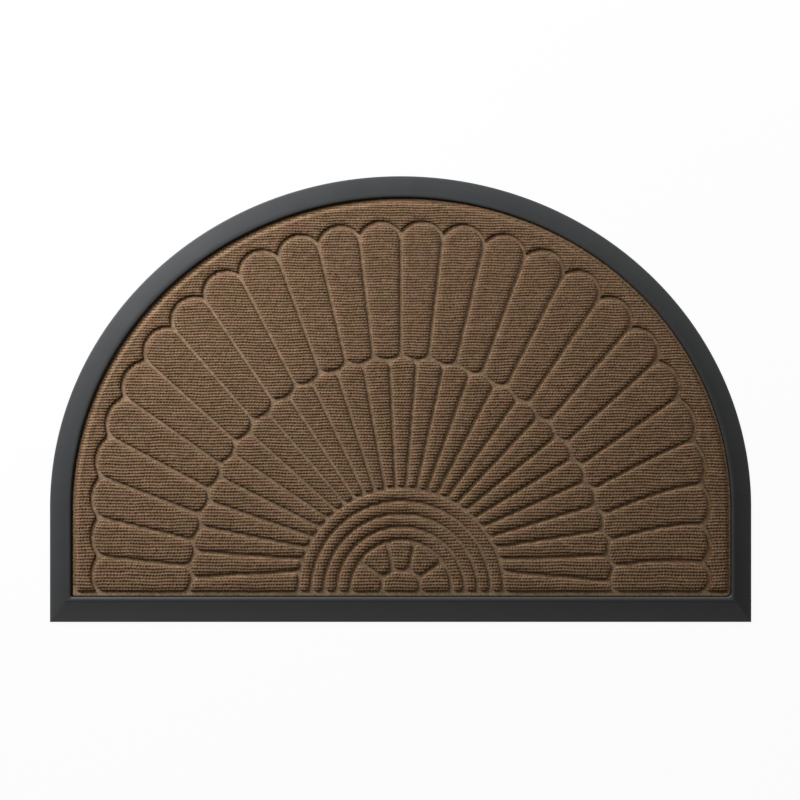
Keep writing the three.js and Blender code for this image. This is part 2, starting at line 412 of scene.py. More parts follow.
class DoormatStudio(bpy.types.PropertyGroup):
    """The studio's lamps, sky and ceiling."""

    lamp: FloatProperty(
        name="Lamp power", description="Power of the large soft lamp",
        default=48.0, min=0.0, unit="POWER",
    )
    second_lamp: FloatProperty(
        name="Second lamp power", description="Power of the lamp at the upper right",
        default=12.0, min=0.0, unit="POWER",
    )
    sky: FloatProperty(
        name="Sky strength", description="Strength of the even light from all sides",
        default=0.13, min=0.0,
    )
    ceiling: FloatProperty(
        name="Ceiling", description="How bright the ceiling is in the rubber's sheen",
        default=0.5, min=0.0,
    )


# ---------- plane geometry, with a complex number for each point ----------


def soft_curve(start, bend, end, t):
    """Points of the curve that leaves start towards bend and comes to end from there."""
    return (1 - t) ** 2 * start + 2 * t * (1 - t) * bend + t**2 * end


def round_corner(loop, corner, end, reach):
    """Rounds a loop's front corner, at its left (-1) or right (1) end, from "reach" away."""
    above = abs(loop.imag - corner.imag)
    near = above + abs(loop.real - corner.real) < reach
    step = np.where(above < TINY, -1, 1)[near] * abs(loop - corner)[near] / reach
    start, finish = corner - end * reach, corner + 1j * reach
    loop[near] = soft_curve(start, corner, finish, (1 + step) / 2)


def mat_outline(mat, side, front, corner=0.0):
    """Counter-clockwise loop, "side" inside the sides and arch and "front" inside the front.
    Its front corners are rounded by their shares of "corner"."""
    half, rise = mat.width / 2, mat.depth - mat.side_length
    low, spring = front - mat.depth / 2, mat.side_length - mat.depth / 2
    edge = half - side
    turn = np.linspace(0, math.pi, ARCH_STEPS, endpoint=False)
    outward = np.cos(turn) / half + 1j * np.sin(turn) / rise
    arch = half * np.cos(turn) + 1j * (rise * np.sin(turn) + spring)
    along = -edge * np.cos(math.pi * np.arange(FRONT_STEPS) / FRONT_STEPS)
    up = 1 - np.cos(QUARTER * np.arange(SIDE_STEPS) / SIDE_STEPS)
    down = np.sin(QUARTER * np.arange(SIDE_STEPS) / SIDE_STEPS)
    loop = np.concatenate([
        along + 1j * low,
        edge + 1j * (low + (spring - low) * up),
        arch - side * outward / abs(outward),
        -edge + 1j * (spring + (low - spring) * down),
    ])
    for end, share in CORNER_SHARES.items():
        if corner:
            round_corner(loop, end * edge + 1j * low, end, share * corner)
    return loop


def round_arc(start, middle, end, steps):
    """Points of the round arc from start over middle to end, the end left out."""
    a, b = middle - start, end - start
    cross = 2 * (np.conj(a) * b).imag
    centre = start + 1j * (a * abs(b) ** 2 - b * abs(a) ** 2) / cross
    turn = np.angle((end - centre) / (start - centre))
    if cross * turn < 0:
        turn += math.copysign(2 * math.pi, cross)
    return centre + (start - centre) * np.exp(1j * turn * np.arange(steps) / steps)


def ease_corners(loop, reach):
    """The same loop with each corner drawn as a soft curve that starts and ends "reach" away
    along the loop."""
    loop = loop[abs(loop - np.roll(loop, 1)) > SAME_POINT]
    edges = abs(np.roll(loop, -1) - loop)
    along, total = np.cumsum(edges) - edges, edges.sum()
    turn = abs(np.angle((np.roll(loop, -1) - loop) / (loop - np.roll(loop, 1))))
    corners = np.nonzero(turn > CORNER_TURN)[0]
    keep, eased = np.ones(len(loop), dtype=bool), []
    for corner in corners:
        gaps = [(along[corner] - along[other]) % total for other in corners]
        room = min([gap for g in gaps for gap in (g, total - g) if 0 < g] + [total])
        cut = min(reach, CORNER_ROOM * room)
        away = (along - along[corner] + total / 2) % total - total / 2
        keep &= abs(away) >= cut
        start, end = [
            np.interp(along[corner] + step, [*along, total], [*loop, loop[0]], period=total)
            for step in (-cut, cut)
        ]
        for t in np.linspace(0, 1, EASE_STEPS):
            place = (along[corner] + (2 * t - 1) * cut) % total
            eased.append((place, soft_curve(start, loop[corner], end, t)))
    eased += zip(along[keep], loop[keep])
    return np.array([point for _, point in sorted(eased, key=lambda pair: pair[0])])


def ease_section(rows, reach):
    """Rows of a cross section with each inner corner drawn as a soft curve."""
    rows = np.array(rows)
    eased = [rows[0]]
    for before, corner, after in zip(rows, rows[1:], rows[2:]):
        start, end = [
            corner + (other - corner) * min(reach / np.linalg.norm(other - corner), SECTION_ROOM)
            for other in (before, after)
        ]
        eased += [soft_curve(start, corner, end, t) for t in np.linspace(0, 1, SECTION_STEPS)]
    return [*eased, rows[-1]]


def soft_step(value, low, high):
    """0 below low, 1 above high and a smooth rise between."""
    share = np.clip((value - low) / (high - low), 0, 1)
    return share * share * (3 - 2 * share)


# ---------- the fan ----------


class FanPattern:
    """Works out the cells of the fan, each bounded by the middle of its grooves."""

    def __init__(self, mat, fan):
        self.mat, self.fan = mat, fan
        self.hub = 1j * (HUB_FROM_FRONT - mat.depth / 2)
        self.spring = mat.side_length - mat.depth / 2
        self.base = -fan.groove / 2
        self.sector = QUARTER / fan.sectors
        self.largest_arch = FIRST_ARCH + ARCH_BANDS * fan.arch_pitch

    def from_hub(self, angle, radius):
        """A point of the fan. The outermost rays lie along its base line."""
        level = abs(angle) > QUARTER - TINY
        back = self.base if level else math.cos(angle) * radius
        return self.hub + math.sin(angle) * radius + 1j * back

    def hub_arc(self, start, end, radius, steps):
        """Points of a round arc around the hub, from one angle to another."""
        return [self.from_hub(angle, radius) for angle in np.linspace(start, end, steps + 1)]

    def arch_radius(self, angle, half_width, rise):
        """How far a ray runs to an arch with straight sides below the spring line."""
        to_side = half_width / max(abs(math.sin(angle)), TINY)
        if self.hub.imag + to_side * math.cos(angle) <= self.spring:
            return to_side
        drop = self.hub.imag - self.spring
        square = (math.sin(angle) / half_width) ** 2 + (math.cos(angle) / rise) ** 2
        linear = drop * math.cos(angle) / rise**2
        constant = (drop / rise) ** 2 - 1
        return (math.sqrt(linear**2 - square * constant) - linear) / square

    def ray_angle(self, index):
        """The angle of a ray, with the rays half way to the ends a little more upright."""
        most = LEFT_UPRIGHT if index < 0 else RIGHT_UPRIGHT
        return index * self.sector - most * math.sin(math.pi * index / UPRIGHT_RAYS)

    def slipped(self, index, point):
        """The point, moved nearer the front edge at the lower right."""
        drop = SLIP * float(soft_step(index, *SLIP_RAYS))
        return complex(point.real, max(point.imag - drop, self.hub.imag + self.base))

    def valley(self, index):
        """The point between two long petals, where a ray ends."""
        angle = self.ray_angle(index)
        return self.slipped(index, self.from_hub(angle, self.arch_radius(angle, **PETAL_VALLEY)))

    def neck(self, index):
        """The ray's outer end, up to its valley, as a soft curve."""
        angle = self.ray_angle(index)
        radius = self.arch_radius(angle, **PETAL_VALLEY)
        start, bend = [self.from_hub(angle, share * radius) for share in NECK]
        end = self.valley(index)
        steps = np.linspace(0, 1, NECK_STEPS, endpoint=False)
        return [soft_curve(start, bend, end, t) for t in steps]

    def tip(self, index):
        """The outermost point of a long petal."""
        side = LEFT_SHOULDER if index < 0 else RIGHT_SHOULDER
        turn = abs(index) * self.sector
        shoulder = math.sin(math.pi * min(turn, SHOULDER_END) / SHOULDER_END)
        lean = math.copysign(side["lean"] * math.sin(2 * turn), index)
        angle = self.ray_angle(index - lean + TIP_TURN)
        radius = self.arch_radius(angle, **PETAL_TIP) + side["reach"] * shoulder
        return self.slipped(index, self.from_hub(angle, radius))

    def scallop(self, index):
        """A long petal's rounded end, from valley over tip to valley."""
        ends = self.valley(index), self.tip(index + 0.5), self.valley(index + 1)
        return list(round_arc(*ends, SCALLOP_STEPS))

    def zigzag(self, index, across, back):
        """The point of a half ellipse on a ray."""
        angle = self.ray_angle(index)
        reach = 1 / math.hypot(math.sin(angle) / across, math.cos(angle) / back)
        return self.from_hub(angle, reach)

    def notch(self, index):
        """An inner point of the zigzag, a little clockwise of the half way."""
        return self.zigzag(index + ZIGZAG_TURN, **ZIGZAG_IN)

    def arch_point(self, index):
        """The foot of a ray on the largest arch."""
        lean = HUB_UPRIGHT * math.sin(math.pi * index / self.fan.sectors)
        return self.from_hub(index * HUB_SECTOR - lean, self.largest_arch)

    def outer_petals(self):
        """The long petals with rounded ends, from left to right."""
        sectors = self.fan.sectors
        return [
            [
                self.zigzag(index, **ZIGZAG_OUT), *self.neck(index), *self.scallop(index),
                self.valley(index + 1), *reversed(self.neck(index + 1)),
                self.zigzag(index + 1, **ZIGZAG_OUT), self.notch(index + 0.5),
            ]
            for index in range(-sectors, sectors)
        ]

    def inner_petals(self):
        """The short petals between the arches and the zigzag, with a half one at each end."""
        sectors = self.fan.sectors
        whole = [
            [
                self.notch(index - 0.5), self.zigzag(index, **ZIGZAG_OUT),
                self.notch(index + 0.5), self.arch_point(index + 0.5),
                self.arch_point(index), self.arch_point(index - 0.5),
            ]
            for index in range(1 - sectors, sectors)
        ]
        halves = [
            [
                self.notch(side * (sectors - 0.5)),
                self.zigzag(side * sectors, **ZIGZAG_OUT),
                self.from_hub(side * QUARTER, self.largest_arch),
                self.arch_point(side * (sectors - 0.5)),
            ]
            for side in (-1, 1)
        ]
        return whole + halves

    def arch_bands(self):
        """The bands between the arches around the hub."""
        radii = [FIRST_ARCH + band * self.fan.arch_pitch for band in range(ARCH_BANDS + 1)]
        return [
            self.hub_arc(QUARTER, -QUARTER, inner, BAND_STEPS)
            + self.hub_arc(-QUARTER, QUARTER, outer, BAND_STEPS)
            for inner, outer in zip(radii, radii[1:])
        ]

    def rosette(self):
        """The cells inside the smallest arch: five around one at the hub."""
        grooves = [(math.radians(a), r, math.radians(b)) for a, r, b in ROSETTE_GROOVES]

        def at_cell(side, groove):
            return self.from_hub(side * groove[0], groove[1])

        def arc(start, end):
            return self.hub_arc(start, end, FIRST_ARCH, ROSETTE_STEPS)

        first, second, last = grooves
        cells = [[at_cell(-1, first), *arc(-first[2], first[2]), at_cell(1, first)]]
        for side in (-1, 1):
            for low, high in ((first, second), (second, last)):
                rim = arc(side * low[2], side * high[2])
                cells.append([at_cell(side, low), *rim, at_cell(side, high)])
        hub_cell = [at_cell(-1, g) for g in reversed(grooves)] + [at_cell(1, g) for g in grooves]
        return cells + [hub_cell]

    def field(self):
        """The field between the carpet's edge and the petals' rounded ends."""
        side = self.mat.side_border + POCKET_CLEARANCE + CARPET_SHIFT + MARGIN - FIELD_GROOVE
        rim = mat_outline(self.mat, side, HUB_FROM_FRONT - FIELD_GROOVE)[FRONT_STEPS:]
        rim = rim + POCKET_SHIFT + CARPET_SHIFT
        sectors = self.fan.sectors
        scallops = [p for index in range(-sectors, sectors) for p in self.scallop(index)]
        low_left = complex(-rim[0].real, rim[0].imag)
        return [*rim, low_left, *scallops, self.valley(sectors)]


# ---------- the pile ----------


class PileRows:
    """The crossings of the pile's rows and loops, and how far each lies inside its pad."""

    def __init__(self, mat, fan, pile):
        self.fan, self.pile = fan, pile
        half = mat.width / 2 - mat.side_border - POCKET_CLEARANCE
        step = pile.loop / LOOP_SAMPLES
        count = int(half / step)
        self.x = np.arange(-count, count + 1) * step
        run = mat.depth - mat.side_border - FIRST_ROW
        shrink = (pile.front_pitch - pile.back_pitch) / run
        rows = math.log(pile.front_pitch / pile.back_pitch) / shrink
        samples = np.arange(-ROWS_BEFORE * ROW_SAMPLES, int(rows + 1) * ROW_SAMPLES)
        self.rows = samples / ROW_SAMPLES
        from_front = FIRST_ROW + pile.front_pitch / shrink * (1 - np.exp(-shrink * self.rows))
        self.row_y = from_front - mat.depth / 2
        self.loops = self.loop_turns()
        self.y = self.row_y[:, None] + self.straying()
        self.y += LOOP_TWIST * np.sin(2 * math.pi * self.loops + LOOP_SLANT * self.rows[:, None])
        self.nap = self.loop_nap()
        self.rim = self.rim_distance(mat)
        self.depth = np.full(self.y.shape, -fan.groove / 2)
        self.pad = np.full(self.y.shape, -1, dtype=np.int16)

    def straying(self):
        """How far the rows stray, at each crossing."""
        x, y = self.x[None, :], self.row_y[:, None]
        waves = [
            share * np.sin(2 * math.pi * (x / along + y / across) + turn)
            for along, across, turn, share in ROW_WAVES
        ]
        return self.pile.wave * sum(waves)

    def rim_distance(self, mat):
        """How far each crossing lies inside the carpet's edge at the sides and arch."""
        spring = mat.side_length - mat.depth / 2
        edge = mat_outline(mat, mat.side_border + POCKET_CLEARANCE + CARPET_SHIFT, 0)
        half, rise = edge.real.max(), edge.imag.max() - spring
        x = self.x[None, :] - POCKET_SHIFT.real - CARPET_SHIFT
        up = np.maximum(self.y - spring + POCKET_DROP, 0)
        reach = np.hypot(x / half, up / rise)
        slope = np.hypot(x / half**2, up / rise**2) / np.maximum(reach, TINY)
        return (1 - reach) / np.maximum(slope, TINY)

    def press(self, cell, number, groove):
        """Marks the crossings inside a cell with its number and their depth inside its pad,
        whose edge runs "groove" inside the cell."""
        loop = ease_corners(np.array(cell), self.fan.corner)
        stray, reach = 2 * self.pile.wave + LOOP_TWIST, groove + SOFT_SHOULDER[0]
        c0, c1 = np.searchsorted(self.x, [loop.real.min(), loop.real.max()])
        r0, r1 = np.searchsorted(self.row_y, [loop.imag.min() - stray, loop.imag.max() + stray])
        x, row_y, y = self.x[c0:c1], self.row_y[r0:r1], self.y[r0:r1, c0:c1]
        inside, near = np.zeros(y.shape, dtype=bool), np.full(y.shape, reach)
        for a, b in zip(loop, np.roll(loop, -1)):
            low, high = sorted((a, b), key=lambda p: p.real)
            j0, j1 = np.searchsorted(x, [low.real, high.real])
            if j1 > j0:
                slope = (high.imag - low.imag) / (high.real - low.real)
                inside[:, j0:j1] ^= y[:, j0:j1] > low.imag + (x[j0:j1] - low.real) * slope
            j0, j1 = np.searchsorted(x, [low.real - reach, high.real + reach])
            bottom, top = sorted((a.imag, b.imag))
            i0, i1 = np.searchsorted(row_y, [bottom - reach - stray, top + reach + stray])
            if j1 > j0 and i1 > i0 and a != b:
                offset = x[j0:j1] + 1j * y[i0:i1, j0:j1] - a
                along = np.clip((offset / (b - a)).real, 0, 1)
                window = near[i0:i1, j0:j1]
                np.minimum(window, abs(offset - along * (b - a)), out=window)
        self.depth[r0:r1, c0:c1][inside] = near[inside] - groove
        self.pad[r0:r1, c0:c1][inside] = number

    def loop_turns(self):
        """How many loops of its row each crossing is along, with the rows out of step."""
        rng = np.random.default_rng(PILE_SEED)
        first = int(math.floor(self.rows[0]))
        row = np.floor(self.rows).astype(int) - first
        drift = np.cumsum(rng.uniform(-ROW_DRIFT, ROW_DRIFT, row[-1] + 1))[row][:, None]
        phase = rng.uniform(0, 2 * math.pi, row[-1] + 1)[row][:, None]
        x = self.x[None, :]
        wobble = sum(
            share * np.sin(x / length + phases * phase) for share, length, phases in LOOP_WOBBLES
        )
        return x / self.pile.loop + drift + wobble

    def loop_nap(self):
        """0 in the dots between the loops, 1 on the tops of the ribs."""
        rng = np.random.default_rng(PILE_SEED + 1)
        bridge = 0.5 + 0.5 * np.cos(2 * math.pi * self.loops)
        crest = 0.5 + 0.5 * np.cos(2 * math.pi * self.rows)[:, None]
        beads = np.interp(self.row_y, *BEADS)[:, None]
        sides = (SIDE_SHOW + BEAD_SHOW * beads) * (1 - crest) * bridge
        nap = crest * (1 - beads + beads * bridge) + sides
        row = np.floor(self.rows).astype(int)[:, None] % LOOP_TABLE
        loop = np.floor(self.loops).astype(int) % LOOP_TABLE
        uneven = rng.normal(0, LOOP_UNEVEN, (LOOP_TABLE, LOOP_TABLE))[row, loop]
        return np.clip(nap + uneven + rng.normal(0, CROSSING_UNEVEN, nap.shape), 0, 1)


def pressed_pile(mat, fan, pile):
    """The pile's rows with the whole fan pressed in, and the groups of pads by number."""
    pattern, rows = FanPattern(mat, fan), PileRows(mat, fan, pile)
    petals = pattern.outer_petals()
    middle = len(petals) // 2
    groups = {
        "field": [pattern.field()],
        "left_petals": petals[:middle],
        "right_petals": petals[middle:],
        "short_petals": pattern.inner_petals(),
        "arches": pattern.arch_bands() + pattern.rosette(),
    }
    for number, (group, cells) in enumerate(groups.items()):
        groove = FIELD_GROOVE if group == "field" else fan.groove / 2
        for cell in cells:
            rows.press(cell, number, groove)
    return rows, list(groups)


# ---------- meshes ----------


def new_piece(name, points, faces, values=None):
    """A smooth mesh object. "values" holds numbers for each point, by name."""
    mesh = bpy.data.meshes.new(name)
    mesh.from_pydata(points, [], faces)
    for label, numbers in (values or {}).items():
        layer = mesh.attributes.new(label, "FLOAT", "POINT")
        layer.data.foreach_set("value", numbers)
    mesh.shade_smooth()
    mesh.validate()
    piece = bpy.data.objects.new(name, mesh)
    bpy.context.scene.collection.objects.link(piece)
    return piece


def lofted_piece(name, loops, highlight_and_wear=None):
    """A closed body through (loop, height) pairs, from its underside up over its rim to the face
    that the last loop bounds. Its last argument holds a number for each point of each loop: the
    painted highlights and wear."""
    count = len(loops[0][0])
    points = [
        (p.real, p.imag, z)
        for loop, height in loops for p, z in zip(loop, np.broadcast_to(height, loop.shape))
    ]
    faces = [
        (level + i, level + (i + 1) % count,
         level + count + (i + 1) % count, level + count + i)
        for level in range(0, count * (len(loops) - 1), count)
        for i in range(count)
    ]
    faces.append(tuple(reversed(range(count))))
    faces.append(tuple(range(len(points) - count, len(points))))
    return new_piece(name, points, faces, None if highlight_and_wear is None else {"highlight_and_wear": highlight_and_wear.ravel()})


def pile_piece(group, number, rows):
    """The raised, ribbed pads of one group, whose feet lie just under the grooves."""
    lift, field = rows.fan.lift, group == "field"
    wanted = (rows.pad == number) & (rows.depth > -FOOT)
    if not wanted.any():
        raise RuntimeError(f"there is no room for the pads of {group}")
    quads = wanted[:-1, :-1] | wanted[1:, :-1] | wanted[:-1, 1:] | wanted[1:, 1:]
    i, j = np.nonzero(quads)
    width = len(rows.x)
    corners = np.stack([i * width + j, i * width + j + 1, (i + 1) * width + j + 1,
                        (i + 1) * width + j], axis=1)
    used, faces = np.unique(corners, return_inverse=True)
    x, y = np.tile(rows.x, len(rows.rows))[used], rows.y.ravel()[used]
    depth = np.where(rows.pad == number, rows.depth, -FOOT).ravel()[used]
    nap = rows.nap.ravel()[used]
    off_rim = soft_step(rows.rim.ravel()[used], *RIM_RISE)
    rise = sum(share * soft_step(depth, -FOOT, reach) for reach, share in (SHOULDER, SOFT_SHOULDER))
    ribbed = soft_step(depth, -FOOT, -RIB_START * FOOT)
    rim = np.interp(x, *RIM_HEIGHTS)
    full = GROOVE_LEVEL + lift + (FIELD_LIFT if field else 0)
    top = rim + (full - rim) * off_rim
    foot = np.clip(top - lift, LOWEST_FOOT, GROOVE_LEVEL - FOOT_DEPTH)
    height = foot + (top - foot) * rise
    height += rows.pile.rib * (nap - MEAN_NAP) * ribbed
    # Painted shade: the field's loops are painted darker near its grooves, away from the carpet's
    # rim.
    if field:
        edge = 1 - soft_step(depth, -FOOT, FIELD_SHADE)
        nap = nap * (1 - FIELD_PAINTED_SHADE * off_rim * edge)
    # The nap sets the loops' colour, with painted shade in the valleys between the ribs.
    values = {"nap": 1 - ribbed * (1 - nap), "pressed": 1 - ribbed}
    points = np.stack([x, y, height], axis=1)
    return new_piece(f"pile_{group}", points, faces.reshape(-1, 4), values)


# ---------- finishes ----------


def add_node(tree, kind, inputs=(), **settings):
    """A node with its settings, and its inputs set to values or linked to sockets."""
    made = tree.nodes.new(kind)
    for name, value in settings.items():
        setattr(made, name, value)
    for name, value in dict(inputs).items():
        if isinstance(value, bpy.types.NodeSocket):
            tree.links.new(value, made.inputs[name])
        else:
            made.inputs[name].default_value = value
    return made


def new_finish(name):
    """An empty node material and its tree."""
    material = bpy.data.materials.new(name)
    material.use_nodes = True
    material.node_tree.nodes.clear()
    return material, material.node_tree


def noise(tree, where, scale, detail, stretch=None):
    """Noise of that scale, in spots a metre, perhaps stretched."""
    if stretch:
        where = add_node(tree, "ShaderNodeMapping", {"Vector": where, "Scale": stretch}).outputs[0]
    inputs = {"Vector": where, "Scale": scale, "Detail": detail}
    return add_node(tree, "ShaderNodeTexNoise", inputs).outputs[0]


def ranged(tree, value, low, high, out_low, out_high):
    """The value mapped from one range to another."""
    inputs = {"Value": value, 1: low, 2: high, 3: out_low, 4: out_high}
    return add_node(tree, "ShaderNodeMapRange", inputs).outputs[0]


def spots(tree, where, scale, detail, reach, low=0, high=1, stretch=None):
    """Noise whose values within "reach" of its middle run from low to high."""
    value = noise(tree, where, scale, detail, stretch)
    return ranged(tree, value, 0.5 - reach, 0.5 + reach, low, high)


def mixed(tree, share, a, b, blend="MIX"):
    """Two colours mixed by a share."""
    inputs = {0: share, 6: a, 7: b}
    return add_node(tree, "ShaderNodeMix", inputs, data_type="RGBA", blend_type=blend).outputs[2]


def math_node(tree, operation, a, b):
    """Two numbers put together by a math node."""
    return add_node(tree, "ShaderNodeMath", {0: a, 1: b}, operation=operation).outputs[0]


def solid_colour(colour, share=1.0):
    """The colour times a share, with an alpha of 1."""
    return (*[min(c * share, 1) for c in colour], 1)


def painted_hollow_shade(tree, colour):
    """Painted shade in the pile's hollows, found by ambient occlusion: the colour is made darker
    and redder there, as light that gets in comes back darker and redder.
    """
    opening = add_node(tree, "ShaderNodeAmbientOcclusion", {"Distance": HOLLOW},
                       samples=HOLLOW_SAMPLES).outputs["AO"]
    tint = mixed(tree, ranged(tree, opening, *HOLLOW_SHARES, 0, 1), HOLLOW_SHADE_TINT, WHITE)
    return mixed(tree, 1.0, colour, tint, "MULTIPLY")


def yarn_tint(tree, where, colour):
    """Heathered yarn: reddish and greenish patches, uneven rows and single fibres."""
    patches = spots(tree, where, scale=1, detail=3, reach=0.14, stretch=PATCH_STRETCH)
    colour = mixed(tree, 1.0, colour, mixed(tree, patches, *PATCH_TINTS), "MULTIPLY")
    low, high = ROW_SHADES
    uneven = spots(tree, where, 1, detail=2, reach=0.2, low=low, high=high, stretch=ROW_STRETCH)
    low, high = FIBRE_SHADES
    fibres = spots(tree, where, scale=330, detail=2, reach=0.2, low=low, high=high)
    both = math_node(tree, "MULTIPLY", uneven, fibres)
    grey = add_node(tree, "ShaderNodeCombineColor", {0: both, 1: both, 2: both}).outputs[0]
    return mixed(tree, 1.0, colour, grey, "MULTIPLY")


def add_surface(tree, where, grain, colour, roughness, specular):
    """Ends a finish with its grain, its shader and its output."""
    scale, detail, strength, depth = grain
    bump = add_node(tree, "ShaderNodeBump", {
        "Strength": strength, "Distance": depth, "Height": noise(tree, where, scale, detail),
    })
    shader = add_node(tree, "ShaderNodeBsdfPrincipled", {
        "Base Color": colour, "Roughness": roughness, "Specular IOR Level": specular,
        "Normal": bump.outputs[0],
    })
    add_node(tree, "ShaderNodeOutputMaterial", {"Surface": shader.outputs[0]})


def pile_finish(finish):
    """Ribbed pile: light on the loops and dark between them, a painted shade of the valleys."""
    material, tree = new_finish("ribbed_pile")
    where = add_node(tree, "ShaderNodeTexCoord").outputs["Object"]
    nap = add_node(tree, "ShaderNodeAttribute", attribute_name="nap").outputs["Fac"]
    pressed = add_node(tree, "ShaderNodeAttribute", attribute_name="pressed").outputs["Fac"]
    height = ranged(tree, nap, *NAP_RANGE, 0, 1)
    # The loops darken towards the valley colour: painted shade between the ribs.
    loops = mixed(tree, height, solid_colour(finish.valley), solid_colour(finish.crest))
    base = mixed(tree, pressed, loops, solid_colour(finish.groove))
    # The loops get painted shade in their hollows.
    colour = painted_hollow_shade(tree, yarn_tint(tree, where, base))
    add_surface(tree, where, PILE_GRAIN, colour, roughness=0.95, specular=0.03)
    return material


def pressed_finish(finish):
    """Carpet pressed flat: smooth, lighter and faintly fibrous."""
    material, tree = new_finish("pressed_carpet")
    where = add_node(tree, "ShaderNodeTexCoord").outputs["Object"]
    blotches = spots(tree, where, scale=160, detail=3, reach=0.2)
    dark, light = [solid_colour(finish.groove, share) for share in PRESSED_SHADES]
    # The pressed carpet gets painted shade in its hollows.
    colour = painted_hollow_shade(tree, yarn_tint(tree, where, mixed(tree, blotches, dark, light)))
    add_surface(tree, where, PRESSED_GRAIN, colour, roughness=0.9, specular=0.05)
    return material


def rubber_finish(finish):
    """Moulded rubber: satin, with a faint bloom, paler painted highlights and wear, and a fine
    grain.
    """
    material, tree = new_finish("moulded_rubber")
    where = add_node(tree, "ShaderNodeTexCoord").outputs["Object"]
    bloom = spots(tree, where, scale=16, detail=4, reach=0.15)
    dark, light = [solid_colour(finish.rubber, share) for share in RUBBER_SHADES]
    # Painted highlights and wear make the rim, crown and front paler.
    highlight_and_wear = add_node(tree, "ShaderNodeAttribute", attribute_name="highlight_and_wear").outputs["Fac"]
    highlit_and_worn = solid_colour(finish.rubber, HIGHLIGHT_AND_WEAR_SHADE)
    colour = mixed(tree, highlight_and_wear, mixed(tree, bloom, dark, light), highlit_and_worn)
    low, high = RUBBER_ROUGHNESS
    sheen = spots(tree, where, scale=45, detail=3, reach=0.2, low=low, high=high)
    add_surface(tree, where, RUBBER_GRAIN, colour, roughness=sheen, specular=0.2)
    return material


def seen_directly(tree):
    """1 where a surface is seen by the eye, in a mirror or through glass."""
    path = add_node(tree, "ShaderNodeLightPath").outputs
    seen = math_node(tree, "MAXIMUM", path["Is Camera Ray"], path["Is Glossy Ray"])
    return math_node(tree, "MAXIMUM", seen, path["Is Transmission Ray"])


def floor_finish(finish):
    """A pale studio floor that is seen nearly white and keeps a faint shadow."""
    material, tree = new_finish("studio_floor")
    floor = add_node(tree, "ShaderNodeBsdfDiffuse", {"Color": solid_colour(finish.floor)})
    glow = add_node(tree, "ShaderNodeEmission", {"Color": WHITE, "Strength": 1.0})
    share = math_node(tree, "MULTIPLY", seen_directly(tree), FLOOR_GLOW)
    both = add_node(tree, "ShaderNodeMixShader", {0: share, 1: floor.outputs[0],
                                                  2: glow.outputs[0]})
    add_node(tree, "ShaderNodeOutputMaterial", {"Surface": both.outputs[0]})
    return material


def dress(piece, material, node):
    """Gives a piece its finish, and puts it in the place of a CAD node."""
    piece.data.materials.append(material)
    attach(piece, "root")
    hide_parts(node)


def shared_finish(name, make, finish):
    """The finish of that name, made once."""
    return bpy.data.materials.get(name) or make(finish)


# ---------- studio ----------


def add_floor(finish):
    """A wide flat floor under the mat."""
    far = FLOOR_SIZE / 2
    sides = ((-far, -far), (far, -far), (far, far), (-far, far))
    floor = new_piece("studio_floor", [(x, y, FLOOR_LEVEL) for x, y in sides], [(0, 1, 2, 3)])
    floor.data.materials.append(floor_finish(finish))


def aim(place):
    """The turn that points a lamp at that place towards the middle of the mat."""
    x, y, z = place
    return (math.atan2(math.hypot(x, y), z), 0, math.atan2(y, x) + math.pi / 2)


def add_lamp(scene, name, power, place):
    """A round soft lamp that points at the mat."""
    lamp = bpy.data.lights.new(name, "AREA")
    lamp.energy, lamp.shape, lamp.size = power, "DISK", LAMP_SIZE
    lamp_object = bpy.data.objects.new(name, lamp)
    lamp_object.location = place
    lamp_object.rotation_euler = aim(place)
    scene.collection.objects.link(lamp_object)


def studio_sky(studio):
    """Even warm light, a bright ceiling in the rubber's sheen, and white where it is seen."""
    world = bpy.data.worlds.new("studio_sky")
    world.use_nodes = True
    tree = world.node_tree
    tree.nodes.clear()
    path = add_node(tree, "ShaderNodeLightPath").outputs
    seen = math_node(tree, "MAXIMUM", path["Is Camera Ray"], path["Is Transmission Ray"])
    where = add_node(tree, "ShaderNodeTexCoord").outputs["Generated"]
    up = add_node(tree, "ShaderNodeSeparateXYZ", {0: where}).outputs["Z"]
    ceiling = ranged(tree, up, *CEILING, 0, studio.ceiling)
    ceiling = math_node(tree, "MULTIPLY", ceiling, path["Is Glossy Ray"])
    even = ranged(tree, seen, 0, 1, studio.sky, 1)
    strength = math_node(tree, "ADD", ceiling, even)
    tint = mixed(tree, seen_directly(tree), SKY_TINT, WHITE)
    sky = add_node(tree, "ShaderNodeBackground", {"Color": tint, "Strength": strength})
    add_node(tree, "ShaderNodeOutputWorld", {"Surface": sky.outputs[0]})
    return world


def add_camera(scene):
    """The scene's camera, straight above the mat."""
    camera = bpy.data.cameras.new("camera")
    camera.lens = camera.sensor_width * CAMERA_HEIGHT / VIEW_WIDTH
    camera_object = bpy.data.objects.new("camera", camera)
    camera_object.location = (*CAMERA_OVER, CAMERA_HEIGHT)
    scene.collection.objects.link(camera_object)
    scene.camera = camera_object


# ---------- operators ----------


